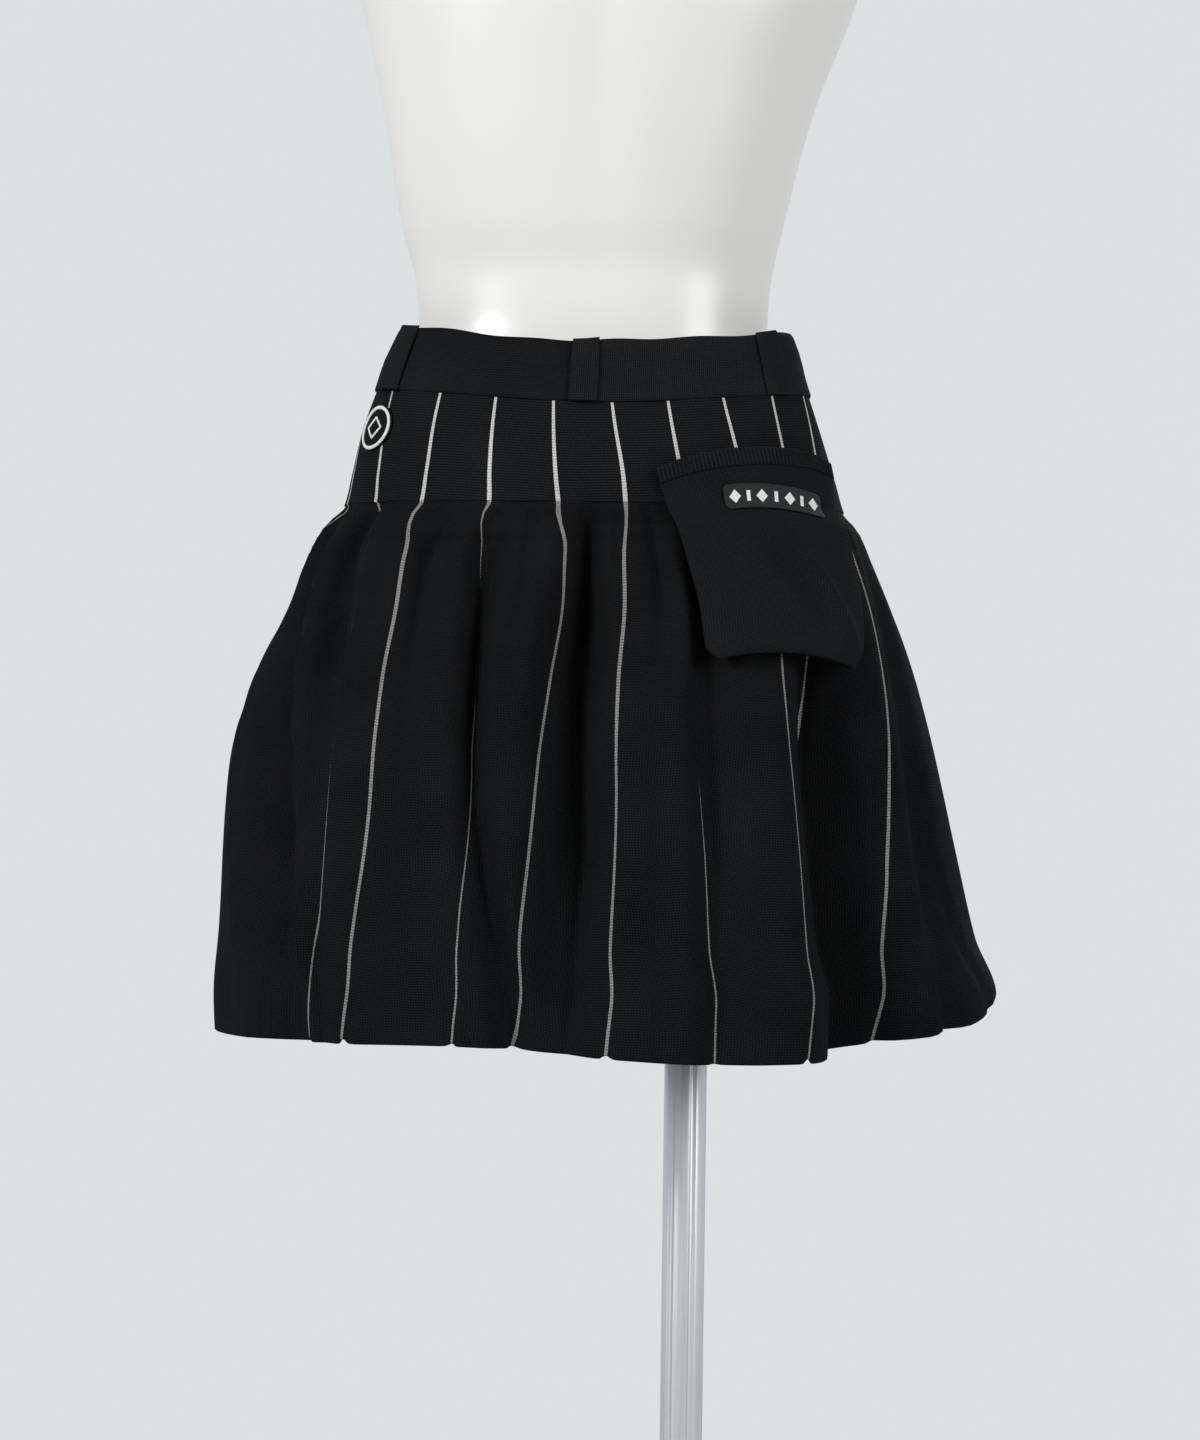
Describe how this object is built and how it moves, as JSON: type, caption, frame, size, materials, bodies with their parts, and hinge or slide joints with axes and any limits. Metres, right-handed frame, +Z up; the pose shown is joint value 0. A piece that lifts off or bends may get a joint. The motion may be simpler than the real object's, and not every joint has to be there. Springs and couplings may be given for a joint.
{
  "type": "knit skirt on a dress form",
  "caption": "Short flared knit skirt with smooth yoke, looped waistband, gathered striped panel and hanging patch pocket, worn on a limbless form on a pole stand.",
  "frame": {"origin": "centre of the stand base's underside, on the floor, under the middle of the form", "axes": "+Z up along the body; -Y is the side in the picture, the skirt's back; +X is that picture's right"},
  "size_m": [0.4416, 0.3719, 1.502],
  "materials": {
    "knit_black": "matte black knit with pale stripes between the gores",
    "patch_black": "matte, with a raised white border",
    "label_black": "satin woven label",
    "form_white": "smooth warm white",
    "aluminium": "satin, fluted",
    "steel": "satin"
  },
  "bodies": {
    "root": {"waistband": "knit_black", "yoke": "knit_black", "lower_panel_back_left": "knit_black", "lower_panel_back_right": "knit_black", "lower_panel_front_right": "knit_black", "lower_panel_front_left": "knit_black", "pocket": "knit_black", "pocket_rib": "knit_black", "side_patch": "patch_black", "pocket_label": "label_black", "form_torso": "form_white", "pole_socket": "steel", "pole": "aluminium", "stand_base": "steel", "belt_loop_1": "knit_black", "belt_loop_2": "knit_black", "belt_loop_3": "knit_black", "belt_loop_4": "knit_black", "belt_loop_5": "knit_black"}
  },
  "joints": []
}
